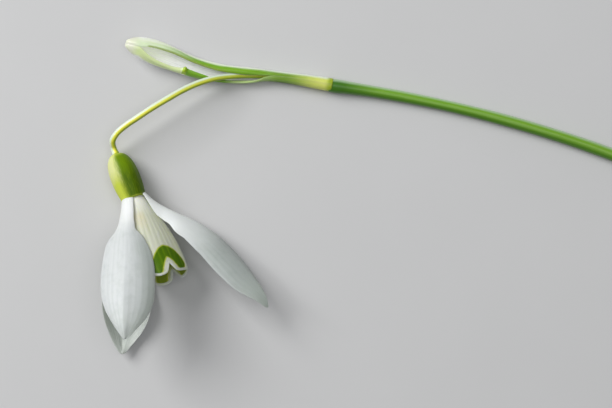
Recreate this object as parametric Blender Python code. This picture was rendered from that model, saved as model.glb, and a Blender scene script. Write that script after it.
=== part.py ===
"""A picked snowdrop, laid on its side on a flat surface.

The leafless stem (the scape) lies along the surface in a shallow arc. At its top the
spathe, a boat-shaped bract, sheathes the thin flower stalk (the pedicel), which leaves
through the slit in the spathe and bends over into the ovary. The perianth hangs from the
ovary: three long outer tepals round a cup of three short, notched inner ones, with six
stamens and a style inside the cup.

Frame: +Z up from the surface, +X along the stem towards its cut end, +Y towards the
spathe's side, origin at the bottom centre of the whole flower's box. Lengths in metres.
Each outline or profile is a short list of (place along the length, value) pairs.
"""

import math

import bmesh
import bpy
import numpy as np
from mathutils import Matrix, Vector

MM = 0.001

# The scape: a shallow arc that lies on the surface all the way.
SCAPE_LENGTH = 96 * MM
SCAPE_RADIUS = [
    (0.0, 1.00 * MM), (0.02, 0.90 * MM), (0.05, 0.82 * MM), (0.12, 0.81 * MM), (0.3, 0.85 * MM),
    (0.6, 0.93 * MM), (1.0, 1.05 * MM),
]
SCAPE_HEADING = math.radians(-7.1)
SCAPE_TURN = math.radians(-30.6)

# The spathe's axis, from the node where it leaves the scape to its hooded tip.
SPATHE_AXIS = [
    (-0.10 * MM, 0.02 * MM, 1.06 * MM),
    (-4.53 * MM, 0.78 * MM, 1.04 * MM),
    (-9.06 * MM, 1.38 * MM, 1.06 * MM),
    (-13.02 * MM, 1.62 * MM, 1.20 * MM),
    (-16.41 * MM, 1.87 * MM, 1.42 * MM),
    (-19.79 * MM, 2.63 * MM, 1.66 * MM),
    (-23.17 * MM, 3.90 * MM, 1.94 * MM),
    (-26.53 * MM, 5.18 * MM, 2.30 * MM),
    (-29.12 * MM, 5.93 * MM, 2.66 * MM),
]
SPATHE_HALF_HEIGHT = [
    (0.0, 1.00 * MM), (0.10, 0.97 * MM), (0.20, 0.84 * MM), (0.32, 0.82 * MM), (0.42, 1.08 * MM),
    (0.52, 1.24 * MM), (0.62, 1.42 * MM), (0.72, 1.66 * MM), (0.80, 1.80 * MM), (0.88, 1.78 * MM),
    (0.94, 1.42 * MM), (0.98, 0.84 * MM), (1.0, 0.34 * MM),
]
SPATHE_DEPTH_SHARE = [(0.0, 1.0), (0.32, 1.0), (0.55, 0.86), (0.80, 0.80), (1.0, 0.95)]
# How far each edge wraps round from the spathe's back, in degrees: 180 is closed.
UPPER_EDGE = [
    (0.0, 176), (0.33, 176), (0.40, 150), (0.50, 144), (0.62, 150), (0.78, 152), (0.90, 158),
    (0.96, 170), (1.0, 174),
]
LOWER_EDGE = [
    (0.0, 176), (0.32, 176), (0.38, 132), (0.46, 122), (0.60, 142), (0.78, 150), (0.90, 156),
    (0.96, 170), (1.0, 174),
]
SPATHE_WALL = 0.20 * MM

# The pedicel, from the node and through the sheath to just short of the ovary.
PEDICEL_RADIUS = [(0.0, 0.40 * MM), (0.40, 0.46 * MM), (0.55, 0.50 * MM), (1.0, 0.47 * MM)]
PEDICEL_ROUTE = [
    (-0.15 * MM, 0.02 * MM, 1.06 * MM),
    (-4.53 * MM, 0.78 * MM, 1.04 * MM),
    (-9.06 * MM, 1.36 * MM, 1.10 * MM),
    (-11.88 * MM, 1.51 * MM, 1.55 * MM),
    (-14.12 * MM, 1.36 * MM, 2.15 * MM),
    (-16.36 * MM, 1.02 * MM, 2.75 * MM),
    (-18.59 * MM, 0.29 * MM, 3.25 * MM),
    (-20.81 * MM, -0.71 * MM, 3.60 * MM),
    (-23.04 * MM, -1.98 * MM, 3.85 * MM),
    (-25.27 * MM, -3.32 * MM, 4.00 * MM),
    (-27.50 * MM, -4.80 * MM, 4.00 * MM),
    (-29.13 * MM, -5.89 * MM, 3.85 * MM),
    (-30.18 * MM, -6.79 * MM, 3.62 * MM),
    (-30.75 * MM, -7.57 * MM, 3.40 * MM),
]

# The flower head: the centre of the ovary's lower face, where the perianth starts.
HEAD_PLACE = (-28.0 * MM, -15.82 * MM, 3.02 * MM)
HEAD_LEAN = math.radians(20.0)
HEAD_LIFT = math.radians(8.5)

OVARY_LENGTH = 6.6 * MM
OVARY_LEAN = 0.045
# From the top, where the pedicel enters, to the rim that carries the tepals.
OVARY_PROFILE = [
    (0.0, 0.60 * MM), (0.03, 0.98 * MM), (0.08, 1.32 * MM), (0.16, 1.64 * MM), (0.28, 1.88 * MM),
    (0.45, 2.02 * MM), (0.62, 2.03 * MM), (0.78, 1.96 * MM), (0.90, 1.84 * MM), (1.0, 1.74 * MM),
]

# Outer tepals: name, length and half width, then in degrees the seat's azimuth, the
# leaning direction, the opening, the flare at the claw, the bow and the roll of the blade.
OUTER_TEPALS = [
    ("outer_tepal_upper", 21.4 * MM, 4.10 * MM, 126, 123, 31, 3, 21, -32),
    ("outer_tepal_lower", 22.1 * MM, 3.88 * MM, 230, 218, 31.5, 3, 21, 33.5),
    ("outer_tepal_side", 24.3 * MM, 3.86 * MM, 4, 4, 43, 14, 31, 28),
]
OUTER_SEAT_RADIUS = 1.62 * MM
OUTER_SEAT_GAP = 0.17 * MM
OUTER_OUTLINE = [
    (0.0, 0.26), (0.10, 0.30), (0.19, 0.32), (0.24, 0.40), (0.29, 0.62), (0.35, 0.79), (0.43, 0.92),
    (0.50, 0.98), (0.58, 1.0), (0.65, 0.98), (0.72, 0.91), (0.79, 0.77), (0.86, 0.57), (0.93, 0.35),
    (0.98, 0.17), (1.0, 0.09),
]
OUTER_HOOK = math.radians(18.0)
OUTER_HOLLOW = [(0.0, 38), (0.25, 34), (0.6, 46), (1.0, 52)]
OUTER_THICKNESS = 0.30 * MM
CLAW_SHARE = 0.36

# Inner tepals: (name, azimuth). They alternate with the outer ones.
INNER_TEPALS = [("inner_tepal_front", 56), ("inner_tepal_left", 175), ("inner_tepal_back", 300)]
INNER_SEAT_RADIUS = 1.02 * MM
INNER_LENGTH = 12.7 * MM
INNER_OUTLINE = [
    (0.0, 0.85 * MM), (0.10, 1.22 * MM), (0.28, 1.98 * MM), (0.42, 2.50 * MM), (0.56, 2.92 * MM),
    (0.70, 3.22 * MM), (0.85, 3.36 * MM), (1.0, 3.30 * MM),
]
INNER_FLARE = math.radians(19.0)
INNER_HOLLOW = [(0.0, 44), (0.3, 36), (1.0, 32)]
INNER_THICKNESS = 0.24 * MM
NOTCH_DEPTH = 0.15
NOTCH_WIDTH = 0.30

# Stamens and style, inside the cup.
STAMEN_COUNT = 6
STAMEN_CIRCLE = 0.66 * MM
FILAMENT_LENGTH = 1.3 * MM
ANTHER_LENGTH = 5.2 * MM
STAMEN_PROFILE = [
    (0.0, 0.13 * MM), (0.20, 0.11 * MM), (0.24, 0.30 * MM), (0.32, 0.36 * MM), (0.60, 0.30 * MM),
    (0.88, 0.15 * MM), (1.0, 0.04 * MM),
]
STAMEN_SPREAD = math.radians(4.0)
STYLE_LENGTH = 8.2 * MM
STYLE_PROFILE = [(0.0, 0.19 * MM), (0.5, 0.15 * MM), (0.9, 0.17 * MM), (1.0, 0.08 * MM)]
SEAT_GAP = 0.06 * MM

# name: (colour, roughness)
FINISHES = {
    "stem_green": ((0.10, 0.30, 0.03), 0.45),
    "spathe_green": ((0.42, 0.60, 0.30), 0.50),
    "stalk_green": ((0.42, 0.52, 0.05), 0.45),
    "ovary_green": ((0.20, 0.38, 0.02), 0.40),
    "tepal_white": ((0.86, 0.88, 0.86), 0.55),
    "inner_white": ((0.80, 0.84, 0.72), 0.55),
    "anther_orange": ((0.80, 0.42, 0.06), 0.60),
    "style_white": ((0.78, 0.82, 0.60), 0.50),
}


def through(pairs, at):
    """The smooth curve through (place, value) pairs, read at the places `at`.

    A cubic between each two places, whose slopes there come from its neighbours.
    """
    places = np.array([pair[0] for pair in pairs], float)
    values = np.array([pair[1] for pair in pairs], float)
    slopes = np.gradient(values, places, axis=0)
    at = np.asarray(at, float)
    left = np.clip(np.searchsorted(places, at) - 1, 0, len(places) - 2)
    step = places[left + 1] - places[left]
    t = (at - places[left]) / step
    if values.ndim > 1:
        t, step = t[:, None], step[:, None]
    start = (1 + 2 * t) * (1 - t) ** 2 * values[left] + t * (1 - t) ** 2 * step * slopes[left]
    end = t * t * (3 - 2 * t) * values[left + 1] + t * t * (t - 1) * step * slopes[left + 1]
    return start + end


def smooth_path(points, count):
    """`count` evenly spaced points on the smooth curve through `points`."""
    points = np.array(points, float)
    runs = np.linalg.norm(np.diff(points, axis=0), axis=1)
    places = np.concatenate([[0.0], np.cumsum(runs)])
    fine = through(list(zip(places, points)), np.linspace(0, places[-1], 20 * count))
    along = np.concatenate([[0.0], np.cumsum(np.linalg.norm(np.diff(fine, axis=0), axis=1))])
    even = np.linspace(0, along[-1], count)
    return np.column_stack([np.interp(even, along, fine[:, axis]) for axis in range(3)])


def eased(share, start, end):
    """0 before start and 1 after end, with a smooth step between."""
    t = np.clip((share - start) / (end - start), 0, 1)
    return t * t * (3 - 2 * t)


def finish_of(name):
    """The material of that name, made once."""
    material = bpy.data.materials.get(name)
    if material is None:
        colour, roughness = FINISHES[name]
        material = bpy.data.materials.new(name)
        material.use_nodes = True
        shader = material.node_tree.nodes["Principled BSDF"]
        shader.inputs["Base Color"].default_value = (*colour, 1.0)
        shader.inputs["Roughness"].default_value = roughness
        shader.inputs["Metallic"].default_value = 0.0
    return material


def add_object(name, data, finish, parent):
    """Links a new object made of `data`, in its finish, under its parent."""
    part = bpy.data.objects.new(name, data)
    data.materials.append(finish_of(finish))
    bpy.context.scene.collection.objects.link(part)
    part.parent = parent
    return part


def add_empty(name, parent=None):
    """A guide that pieces are placed by."""
    empty = bpy.data.objects.new(name, None)
    bpy.context.scene.collection.objects.link(empty)
    empty.parent = parent
    return empty


def tube(name, points, radii, finish, parent, sides_level):
    """A round stalk along `points`: a curve with a bevel and filled caps."""
    curve = bpy.data.curves.new(name, "CURVE")
    curve.dimensions = "3D"
    curve.fill_mode = "FULL"
    curve.use_fill_caps = True
    curve.bevel_depth = MM
    curve.bevel_resolution = sides_level
    spline = curve.splines.new("POLY")
    spline.points.add(len(points) - 1)
    for point, place, radius in zip(spline.points, points, radii):
        point.co = (*place, 1.0)
        point.radius = radius / MM
    return add_object(name, curve, finish, parent)


def sheet_mesh(name, rows):
    """A mesh of quads over a grid of points, given as rows of (x, y, z)."""
    count, across = rows.shape[:2]
    corners = [
        (r * across + c, r * across + c + 1, (r + 1) * across + c + 1, (r + 1) * across + c)
        for r in range(count - 1)
        for c in range(across - 1)
    ]
    mesh = bpy.data.meshes.new(name)
    mesh.from_pydata(rows.reshape(-1, 3).tolist(), [], corners)
    mesh.shade_smooth()
    return mesh


def thicken(part, thickness):
    """Gives a sheet its thickness, half on each side."""
    solidify = part.modifiers.new("Thickness", "SOLIDIFY")
    solidify.thickness = thickness
    solidify.offset = 0.0


def turned_mesh(name, profile, length, sides):
    """A mesh turned round Z from a profile of (share of the length, radius) pairs."""
    shape = bmesh.new()
    shares = [pair[0] for pair in profile]
    rims = [shape.verts.new((radius, 0, share * length)) for share, radius in profile]
    rims.insert(0, shape.verts.new((0, 0, shares[0] * length)))
    rims.append(shape.verts.new((0, 0, shares[-1] * length)))
    edges = [shape.edges.new(pair) for pair in zip(rims, rims[1:])]
    bmesh.ops.spin(
        shape, geom=rims + edges, cent=(0, 0, 0), axis=(0, 0, 1), steps=sides,
        angle=2 * math.pi, use_merge=True,
    )
    bmesh.ops.remove_doubles(shape, verts=shape.verts, dist=0.001 * MM)
    bmesh.ops.recalc_face_normals(shape, faces=shape.faces)
    mesh = bpy.data.meshes.new(name)
    shape.to_mesh(mesh)
    shape.free()
    mesh.shade_smooth()
    mesh.set_sharp_from_angle(angle=math.radians(60))
    return mesh


def build_scape(parent, count=34):
    """The stem: its heading turns evenly, so it is an arc from the node to the cut."""
    share = np.linspace(0, 1, count)
    heading = SCAPE_HEADING + SCAPE_TURN * share
    step = SCAPE_LENGTH / (count - 1)
    middle = (heading[1:] + heading[:-1]) / 2
    x = np.concatenate([[0.0], np.cumsum(step * np.cos(middle))])
    y = np.concatenate([[0.0], np.cumsum(step * np.sin(middle))])
    radius = through(SCAPE_RADIUS, share)
    tube("scape", np.column_stack([x, y, radius]), radius, "stem_green", parent, 3)


def spathe_sheet(stations=34, around=17):
    """The spathe's wall: at each station a C of an ellipse, open to the front."""
    axis = smooth_path(SPATHE_AXIS, stations)
    share = np.linspace(0, 1, stations)
    along = np.gradient(axis, axis=0)
    along /= np.linalg.norm(along, axis=1)[:, None]
    side = np.cross(along, (0, 0, 1))
    side /= np.linalg.norm(side, axis=1)[:, None]
    front = np.cross(side, along)
    half_height = through(SPATHE_HALF_HEIGHT, share) - SPATHE_WALL / 2
    half_depth = half_height * through(SPATHE_DEPTH_SHARE, share)
    upper = np.radians(through(UPPER_EDGE, share))
    lower = np.radians(through(LOWER_EDGE, share))
    turn = np.linspace(0, 1, around)
    angle = -lower[:, None] * (1 - turn) + upper[:, None] * turn
    across = (half_height[:, None] * np.sin(angle))[..., None] * side[:, None]
    deep = (half_depth[:, None] * np.cos(angle))[..., None] * front[:, None]
    return axis[:, None] + across - deep


def build_spathe(parent):
    """The bract: a sheath round the pedicel's foot, then an open, hooded boat."""
    mesh = sheet_mesh("spathe", spathe_sheet())
    thicken(add_object("spathe", mesh, "spathe_green", parent), SPATHE_WALL)


def build_pedicel(parent, head, count=46):
    """The flower's stalk, from the node through the spathe's slit to the ovary."""
    ending = [
        tuple(head.matrix_world @ Vector((-OVARY_LEAN * height, 0, -height)))
        for height in (OVARY_LENGTH + 0.9 * MM, OVARY_LENGTH + SEAT_GAP)
    ]
    points = smooth_path(PEDICEL_ROUTE + ending, count)
    radius = through(PEDICEL_RADIUS, np.linspace(0, 1, count))
    tube("pedicel", points, radius, "stalk_green", parent, 2)


def build_ovary(head):
    """The seed capsule: a turned barrel, a little aslant, whose lower rim carries the tepals."""
    mesh = turned_mesh("ovary", OVARY_PROFILE, OVARY_LENGTH, 22)
    mesh.transform(Matrix.Translation((0, 0, -OVARY_LENGTH)))
    mesh.transform(Matrix.Shear("XY", 4, (OVARY_LEAN, 0)))
    add_object("ovary", mesh, "ovary_green", head)


def midrib(length, turn):
    """Points, outward normals and directions of a midrib in the XZ plane.

    `turn` is its angle from Z at each row; the points follow by adding up the steps.
    """
    step = length / (len(turn) - 1)
    middle = (turn[1:] + turn[:-1]) / 2
    zero = np.zeros(len(turn))
    x = np.concatenate([[0.0], np.cumsum(step * np.sin(middle))])
    z = np.concatenate([[0.0], np.cumsum(step * np.cos(middle))])
    points = np.column_stack([x, zero, z])
    outward = np.column_stack([np.cos(turn), zero, -np.sin(turn)])
    return points, outward


def hollowed(points, outward, half_width, hollow, roll, across):
    """Rows of points: at each point of the midrib an arc, `half_width` long each way.

    `hollow` is the arc's half angle, and `roll` turns it about the midrib.
    """
    sideways = np.array([0.0, 1.0, 0.0])
    radius = (half_width / hollow)[:, None]
    angle = hollow[:, None] * across
    y = radius * np.sin(angle)
    n = -radius * (1 - np.cos(angle))
    cosine, sine = np.cos(roll)[:, None], np.sin(roll)[:, None]
    rolled_y = y * cosine + n * sine
    rolled_n = n * cosine - y * sine
    return points[:, None] + rolled_y[..., None] * sideways + rolled_n[..., None] * outward[:, None]


def outer_sheet(length, half_width, flare, bow, roll, rows=22, columns=11):
    """An outer tepal: a claw with a twist of `roll`, then a hollow blade, hooked at its tip.

    The claw leaves its seat `flare` nearer the axis. The blade bends inwards by `bow` in
    the plane it faces, which is the mesh's XZ plane.
    """
    share = np.linspace(0, 1, rows)
    turn = -bow * np.clip((share - 0.1) / 0.9, 0, 1) - OUTER_HOOK * eased(share, 0.84, 1.0)
    turn -= flare * (1 - eased(share, 0.0, 0.2))
    points, outward = midrib(length, turn)
    width = half_width * through(OUTER_OUTLINE, share)
    hollow = np.radians(through(OUTER_HOLLOW, share))
    twist = roll * (eased(share, 0.05, CLAW_SHARE) - 1)
    return hollowed(points, outward, width, hollow, twist, np.linspace(-1, 1, columns))


def build_outer_tepals(head):
    """The three long tepals, each leaning, bowed and rolled in its own way."""
    for name, length, half_width, *angles in OUTER_TEPALS:
        seat, lean, opening, flare, bow, roll = map(math.radians, angles)
        mesh = sheet_mesh(name, outer_sheet(length, half_width, flare, bow, roll))
        tepal = add_object(name, mesh, "tepal_white", head)
        tepal.location = (
            OUTER_SEAT_RADIUS * math.cos(seat), OUTER_SEAT_RADIUS * math.sin(seat), OUTER_SEAT_GAP,
        )
        tilt = Matrix.Rotation(lean, 4, "Z") @ Matrix.Rotation(opening, 4, "Y")
        tepal.rotation_euler = (tilt @ Matrix.Rotation(roll, 4, "Z")).to_euler()
        thicken(tepal, OUTER_THICKNESS)


def inner_sheet(rows=13, columns=17):
    """An inner tepal: a wedge that widens to two lobes with a notch between them."""
    share = np.linspace(0, 1, rows)
    turn = INNER_FLARE * (1 - share)
    points, outward = midrib(INNER_LENGTH, turn)
    width = through(INNER_OUTLINE, share)
    hollow = np.radians(through(INNER_HOLLOW, share))
    across = np.linspace(-1, 1, columns)
    whole = hollowed(points, outward, width, hollow, np.zeros(rows), across)
    notch = NOTCH_DEPTH * np.clip(1 - np.abs(across) / NOTCH_WIDTH, 0, 1)
    corner = 0.06 * np.clip((np.abs(across) - 0.7) / 0.3, 0, 1) ** 2
    reach = share[:, None] * (1 - notch - corner)
    trimmed = np.empty_like(whole)
    for column in range(columns):
        for axis in range(3):
            trimmed[:, column, axis] = np.interp(reach[:, column], share, whole[:, column, axis])
    return trimmed


def build_inner_tepals(head):
    """The three short tepals, which form the cup."""
    for name, azimuth in INNER_TEPALS:
        tepal = add_object(name, sheet_mesh(name, inner_sheet()), "inner_white", head)
        azimuth = math.radians(azimuth)
        tepal.location = (
            INNER_SEAT_RADIUS * math.cos(azimuth), INNER_SEAT_RADIUS * math.sin(azimuth), SEAT_GAP,
        )
        tepal.rotation_euler.z = azimuth
        thicken(tepal, INNER_THICKNESS)


def build_stamens(head):
    """Six pointed anthers on short filaments, in a ring round the style."""
    length = FILAMENT_LENGTH + ANTHER_LENGTH
    for index in range(STAMEN_COUNT):
        name = f"stamen_{index + 1}"
        azimuth = 2 * math.pi * (index + 0.5) / STAMEN_COUNT
        mesh = turned_mesh(name, STAMEN_PROFILE, length, 8)
        stamen = add_object(name, mesh, "anther_orange", head)
        stamen.location = (
            STAMEN_CIRCLE * math.cos(azimuth), STAMEN_CIRCLE * math.sin(azimuth), SEAT_GAP,
        )
        stamen.rotation_euler = (0, STAMEN_SPREAD, azimuth)


def build_style(head):
    """The style: a slender rod on the cup's axis."""
    mesh = turned_mesh("style", STYLE_PROFILE, STYLE_LENGTH, 8)
    style = add_object("style", mesh, "style_white", head)
    style.location.z = SEAT_GAP


def centre_on_origin(root):
    """Moves the whole flower so that the origin is at its box's bottom centre."""
    bpy.context.view_layer.update()
    graph = bpy.context.evaluated_depsgraph_get()
    corners = []
    for part in bpy.data.objects:
        if part.type == "EMPTY":
            continue
        seen = part.evaluated_get(graph)
        mesh = seen.to_mesh()
        corners += [seen.matrix_world @ vertex.co for vertex in mesh.vertices]
        seen.to_mesh_clear()
    low = Vector(min(corner[axis] for corner in corners) for axis in range(3))
    high = Vector(max(corner[axis] for corner in corners) for axis in range(3))
    root.location = (-(low.x + high.x) / 2, -(low.y + high.y) / 2, -low.z)


def main():
    """Builds every piece, then centres the flower on the origin."""
    for leftover in list(bpy.data.objects):
        bpy.data.objects.remove(leftover)
    root = add_empty("snowdrop")
    head = add_empty("flower_head", root)
    head.location = HEAD_PLACE
    head.rotation_euler = (math.radians(90) - HEAD_LIFT, 0, HEAD_LEAN)
    bpy.context.view_layer.update()
    build_scape(root)
    build_spathe(root)
    build_pedicel(root, head)
    build_ovary(head)
    build_outer_tepals(head)
    build_inner_tepals(head)
    build_stamens(head)
    build_style(head)
    centre_on_origin(root)


if __name__ == "__main__":
    main()
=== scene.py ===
"""The looks of a picked snowdrop that lies on its side on a pale surface.

Every surface is a closed skin: a ring of points swept along a path, with the ring's shape
and the path given as numpy functions. Lengths are in metres. Pieces are laid out from the
node, where the spathe leaves the stem, and then moved to the shared frame.
"""

import logging
import math
from dataclasses import dataclass, field
from enum import Enum
from typing import Iterable, Optional, Sequence, Union

import bpy
import numpy as np
from mathutils import Matrix, Vector


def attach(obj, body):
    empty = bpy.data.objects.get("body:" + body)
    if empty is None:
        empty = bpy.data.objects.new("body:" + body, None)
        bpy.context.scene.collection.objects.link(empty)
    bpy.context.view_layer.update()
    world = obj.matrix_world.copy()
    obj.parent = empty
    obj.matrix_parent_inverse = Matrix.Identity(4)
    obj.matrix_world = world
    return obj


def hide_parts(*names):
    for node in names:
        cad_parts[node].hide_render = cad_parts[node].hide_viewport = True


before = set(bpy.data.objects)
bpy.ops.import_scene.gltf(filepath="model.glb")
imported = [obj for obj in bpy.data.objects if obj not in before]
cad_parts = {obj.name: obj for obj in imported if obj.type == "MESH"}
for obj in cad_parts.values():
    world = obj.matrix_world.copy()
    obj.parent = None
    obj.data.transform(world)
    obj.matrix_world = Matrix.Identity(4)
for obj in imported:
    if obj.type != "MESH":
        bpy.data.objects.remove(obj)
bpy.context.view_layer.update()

MM = 0.001
LOG = logging.getLogger("snowdrop")

Pairs = Sequence[tuple[float, float]]
Colour = tuple[float, float, float]

BLACK: Colour = (0.0, 0.0, 0.0)

# The node's place in the shared frame.
NODE_PLACE = np.array([-27.913, 15.787, -0.027]) * MM


# Curves and placing


def through(pairs: Sequence[tuple], at: np.ndarray) -> np.ndarray:
    """Reads the smooth curve through (place, value) pairs at the places `at`.

    Between two places the curve is the cubic with their values, and with slopes that
    come from the neighbouring pairs.

    Args:
        pairs: places in rising order, each with a number or a tuple of numbers.
        at: where to read the curve.

    Returns:
        One value, or one row of values, for each place.
    """
    places = np.array([pair[0] for pair in pairs], float)
    values = np.array([pair[1] for pair in pairs], float)
    slopes = np.gradient(values, places, axis=0)
    at = np.asarray(at, float)
    left = np.clip(np.searchsorted(places, at) - 1, 0, len(places) - 2)
    step = places[left + 1] - places[left]
    t = (at - places[left]) / step
    if values.ndim > 1:
        t, step = t[:, None], step[:, None]
    start = (1 + 2 * t) * (1 - t) ** 2 * values[left] + t * (1 - t) ** 2 * step * slopes[left]
    end = t * t * (3 - 2 * t) * values[left + 1] + t * t * (t - 1) * step * slopes[left + 1]
    return start + end


def eased(share: np.ndarray, start: float, end: float) -> np.ndarray:
    """A smooth step: 0 before `start`, 1 after `end`, 3t^2 - 2t^3 between."""
    t = np.clip((share - start) / (end - start), 0, 1)
    return t * t * (3 - 2 * t)


def even_path(points: Iterable[Sequence[float]], count: int) -> np.ndarray:
    """Evenly spaced points on the smooth curve through a few given ones.

    Args:
        points: the given points.
        count: how many points to return.

    Returns:
        An array of `count` rows of x, y, z.
    """
    given = np.array(list(points), float)
    runs = np.linalg.norm(np.diff(given, axis=0), axis=1)
    places = np.concatenate([[0.0], np.cumsum(runs)])
    dense = np.linspace(0, places[-1], 20 * len(given) + 4 * count)
    fine = through(list(zip(places, given)), dense)
    runs = np.linalg.norm(np.diff(fine, axis=0), axis=1)
    along = np.concatenate([[0.0], np.cumsum(runs)])
    even = np.linspace(0, along[-1], count)
    return np.column_stack([np.interp(even, along, fine[:, axis]) for axis in range(3)])


def ring_angles(count: int) -> np.ndarray:
    """Even angles once round a ring."""
    return np.linspace(0, 2 * np.pi, count, endpoint=False)


def unit(vectors: np.ndarray) -> np.ndarray:
    """Scales each row to length 1."""
    return vectors / np.linalg.norm(vectors, axis=-1, keepdims=True)


@dataclass(frozen=True)
class Placement:
    """A turn and a shift that carry a piece from its own frame to its parent's."""

    turn: np.ndarray
    shift: np.ndarray

    @classmethod
    def of(cls, matrix: Matrix) -> "Placement":
        """Makes a placement from a 4 by 4 matrix without scale."""
        whole = np.array(matrix)
        return cls(whole[:3, :3], whole[:3, 3])

    @classmethod
    def seated(
        cls, radius: float, azimuth: float, gap: float, *turns: tuple[float, str]
    ) -> "Placement":
        """A place on a circle round the parent's Z axis, then one turn after another.

        Args:
            radius: the circle's radius.
            azimuth: the place's angle round it, in degrees.
            gap: its height above the circle's plane.
            turns: angles in degrees, each with the axis that it goes round.

        Returns:
            The placement.
        """
        angle = math.radians(azimuth)
        matrix = Matrix.Translation((radius * math.cos(angle), radius * math.sin(angle), gap))
        for degrees, axis in turns:
            matrix = matrix @ Matrix.Rotation(math.radians(degrees), 4, axis)
        return cls.of(matrix)

    def carry(self, points: np.ndarray) -> np.ndarray:
        """Moves points from the piece's frame to the parent's."""
        return points @ self.turn.T + self.shift


# Skins


class Cap(Enum):
    """How the first or last ring of a skin is closed."""

    FAN = "triangles to the ring's middle"
    ZIP = "quads between the ring's two halves"


@dataclass
class Skin:
    """A closed surface over rings of points.

    Attributes:
        rings: array of rings by points round each ring by x, y, z.
        marks: named arrays of values, which spread over the rings' first two axes.
        caps: how the first and the last ring are closed.
    """

    rings: np.ndarray
    marks: dict[str, np.ndarray] = field(default_factory=dict)
    caps: tuple[Cap, Cap] = (Cap.FAN, Cap.FAN)

    def faces(self) -> tuple[np.ndarray, list[tuple[int, ...]]]:
        """Lists the faces between rings and those of the caps.

        Returns:
            The extra middle points of fans, and the faces as tuples of indices.
        """
        count, around = self.rings.shape[:2]
        here = np.arange(count * around).reshape(count, around)
        after = np.roll(here, -1, axis=1)
        walls = np.stack([here[:-1], after[:-1], after[1:], here[1:]], axis=-1).reshape(-1, 4)
        faces = [tuple(face) for face in walls.tolist()]
        middles: list[np.ndarray] = []
        for cap, ring, first in zip(self.caps, (here[0], here[-1]), (True, False)):
            row = ring.tolist()
            if cap is Cap.FAN:
                middle = count * around + len(middles)
                middles.append(self.rings.reshape(-1, 3)[ring].mean(axis=0))
                pairs = zip(row, row[1:] + row[:1])
                faces += [(b, a, middle) if first else (a, b, middle) for a, b in pairs]
            else:
                half = around // 2
                for step in range(half - 1):
                    a, b = row[step], row[step + 1]
                    c, d = row[(around - 2 - step) % around], row[(around - 1 - step) % around]
                    quad = (a, b, c, d) if not first else (d, c, b, a)
                    quad = tuple(dict.fromkeys(quad))
                    if len(quad) > 2:
                        faces.append(quad)
        return np.array(middles).reshape(-1, 3), faces

    def mesh(self, name: str) -> bpy.types.Mesh:
        """Builds the mesh, with its faces outward and the marks as attributes.

        Args:
            name: the mesh's name.

        Returns:
            The new mesh.
        """
        middles, faces = self.faces()
        points = np.concatenate([self.rings.reshape(-1, 3), middles])
        if enclosed(points, faces) < 0:
            faces = [face[::-1] for face in faces]
        mesh = bpy.data.meshes.new(name)
        mesh.from_pydata(points.tolist(), [], faces)
        for mark, values in self.marks.items():
            spread = np.broadcast_to(values, self.rings.shape[:2])
            ends = [spread[0].mean(), spread[-1].mean()][: len(middles)]
            every = np.concatenate([spread.ravel(), ends]).astype(np.float32)
            mesh.attributes.new(mark, "FLOAT", "POINT").data.foreach_set("value", every)
        mesh.shade_smooth()
        return mesh


def enclosed(points: np.ndarray, faces: Sequence[tuple[int, ...]]) -> float:
    """The volume that faces enclose, negative if they face inwards.

    It is the sum of the tetrahedra between the first point and each face's triangles.

    Args:
        points: rows of x, y, z.
        faces: tuples of three or four indices.

    Returns:
        The signed volume in cubic metres.
    """
    triangles = np.array([face[:3] for face in faces])
    others = np.array([(face[0], face[2], face[3]) for face in faces if len(face) == 4])
    corners = (points - points[0])[np.concatenate([triangles, others])]
    return float(np.einsum("ij,ij->", corners[:, 0], np.cross(corners[:, 1], corners[:, 2])) / 6)


def tube_rings(path: np.ndarray, radius: np.ndarray, ripple: np.ndarray, around: int) -> np.ndarray:
    """Rings of a round stalk: path + r (cos t side + sin t up), r varying with t.

    Args:
        path: the centre line, rows of x, y, z, never upright.
        radius: the radius at each point of the path.
        ripple: factors on the radius, points of the path by points round the ring.
        around: points round each ring.

    Returns:
        The rings.
    """
    along = unit(np.gradient(path, axis=0))
    side = unit(np.cross(along, (0.0, 0.0, 1.0)))
    up = np.cross(side, along)
    t = ring_angles(around)
    reach = radius[:, None] * ripple
    flat = (reach * np.cos(t))[..., None] * side[:, None]
    return path[:, None] + flat + (reach * np.sin(t))[..., None] * up[:, None]


def rounded_ends(share: np.ndarray, start: float, end: float) -> np.ndarray:
    """Quarter-circle roundings at both ends of a length.

    Args:
        share: shares of the length from 0 to 1.
        start: the share that the first rounding takes.
        end: the share that the last one takes.

    Returns:
        Factors from 0 at both ends to 1 between the roundings.
    """
    first = np.sqrt(np.clip(1 - np.clip(1 - share / start, 0, 1) ** 2, 0, 1))
    last = np.sqrt(np.clip(1 - np.clip(1 - (1 - share) / end, 0, 1) ** 2, 0, 1))
    return first * last


# Shader wiring


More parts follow.
